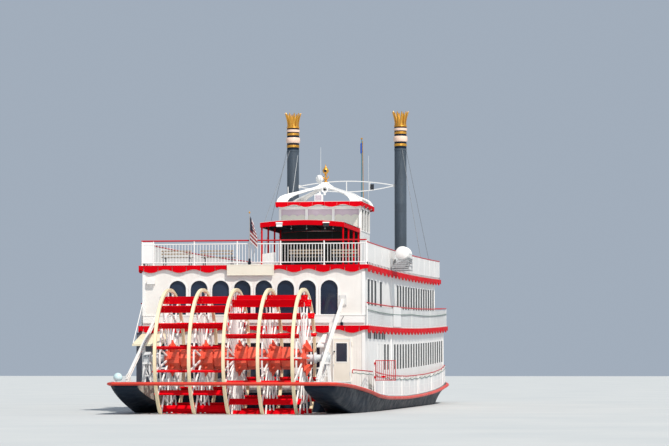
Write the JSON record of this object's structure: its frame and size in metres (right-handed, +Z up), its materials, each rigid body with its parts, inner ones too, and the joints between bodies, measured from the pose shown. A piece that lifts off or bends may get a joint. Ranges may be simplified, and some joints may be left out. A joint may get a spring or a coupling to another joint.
{
  "type": "stern-wheel paddle steamer, scale model at 1:2",
  "caption": "Excursion paddle steamer with a stern wheel, two decks of windows, scalloped red valances, tall chimneys and a domed pilothouse.",
  "frame": {"origin": "on the centreline at the waterline, amidships", "axes": "+Y to the bow, +X to starboard, +Z up"},
  "size_m": [6.08, 23.05, 8.725],
  "materials": {
    "hull_black": "gloss",
    "guard_red": "gloss",
    "deck_grey": "matte",
    "house_white": "satin",
    "valance_red": "satin",
    "rail_grey": "satin",
    "rail_red": "satin",
    "stack_grey": "satin",
    "gold": "gloss",
    "wire_dark": "satin",
    "raft_grey": "satin",
    "wheel_cream": "satin",
    "board_red": "satin",
    "hub_orange": "satin",
    "window_dark": "gloss",
    "flag_blue": "matte",
    "flag_red": "matte"
  },
  "bodies": {
    "boat": {"hull_body": "hull_black", "quarter_starboard": "hull_black", "quarter_port": "hull_black", "guard_rail": "guard_red", "main_deck": "deck_grey", "fore_deck": "deck_grey", "lower_aft_wall": "house_white", "lower_side_wall_starboard": "house_white", "lower_side_wall_port": "house_white", "lower_front_wall_starboard": "house_white", "lower_front_wall_port": "house_white", "second_deck": "deck_grey", "second_valance": "valance_red", "second_valance_aft": "valance_red", "upper_aft_wall": "house_white", "upper_side_wall_starboard": "house_white", "upper_side_wall_port": "house_white", "upper_front_wall": "house_white", "third_deck": "deck_grey", "third_valance": "valance_red", "middle_rail": "rail_grey", "top_bulwark": "house_white", "stern_rail": "rail_red", "lower_bulwark_starboard": "rail_grey", "lower_bulwark_port": "rail_grey", "bow_rail": "rail_grey", "canopy": "valance_red", "pilothouse_walls": "house_white", "pilothouse_roof": "house_white", "finial": "gold", "stack_starboard": "stack_grey", "stack_port": "stack_grey", "crown_starboard": "gold", "crown_port": "gold", "stack_spreader": "house_white", "stays_starboard": "wire_dark", "stays_port": "wire_dark", "jackstaff": "house_white", "jack_flag": "flag_blue", "ensign_staff": "house_white", "ensign": "flag_red", "name_board": "house_white", "raft_starboard": "raft_grey", "raft_port": "raft_grey", "strut_starboard": "house_white", "strut_port": "house_white", "shade_starboard": "wheel_cream", "shade_port": "wheel_cream", "wheel_bearing_starboard": "wheel_cream", "wheel_bearing_port": "wheel_cream"},
    "paddle_wheel": {"wheel_shaft": "hub_orange", "wheel_frame_1": "wheel_cream", "wheel_frame_2": "wheel_cream", "wheel_frame_3": "wheel_cream", "wheel_frame_4": "wheel_cream", "wheel_frame_5": "wheel_cream"},
    "rudder_blade_starboard": {"rudder_starboard": "hull_black"},
    "rudder_blade_port": {"rudder_port": "hull_black"},
    "door_leaf": {"stern_door": "house_white"},
    "gate_leaf": {"boarding_gate": "rail_red"}
  },
  "joints": [
    {"name": "wheel_spin", "type": "hinge", "parent": "boat", "child": "paddle_wheel", "pos_m": [0, -9.75, 1.175], "axis": [1, 0, 0], "continuous": true},
    {"name": "rudder_turn", "type": "hinge", "parent": "boat", "child": "rudder_blade_starboard", "pos_m": [0.95, -7.25, -0.5], "axis": [0, 0, 1], "range_deg": [-35, 35]},
    {"name": "rudder_follow", "type": "hinge", "parent": "boat", "child": "rudder_blade_port", "pos_m": [-0.95, -7.25, -0.5], "axis": [0, 0, 1], "range_deg": [-35, 35]},
    {"name": "door_swing", "type": "hinge", "parent": "boat", "child": "door_leaf", "pos_m": [2.2025, -7.865, 1.1], "axis": [0, 0, 1], "range_deg": [0, 95]},
    {"name": "gate_swing", "type": "hinge", "parent": "boat", "child": "gate_leaf", "pos_m": [2.63, -7.35, 0.9], "axis": [0, 0, 1], "range_deg": [-90, 0]}
  ],
  "couplings": [
    {"joint": "rudder_follow", "follows": "rudder_turn", "ratio": 1}
  ]
}
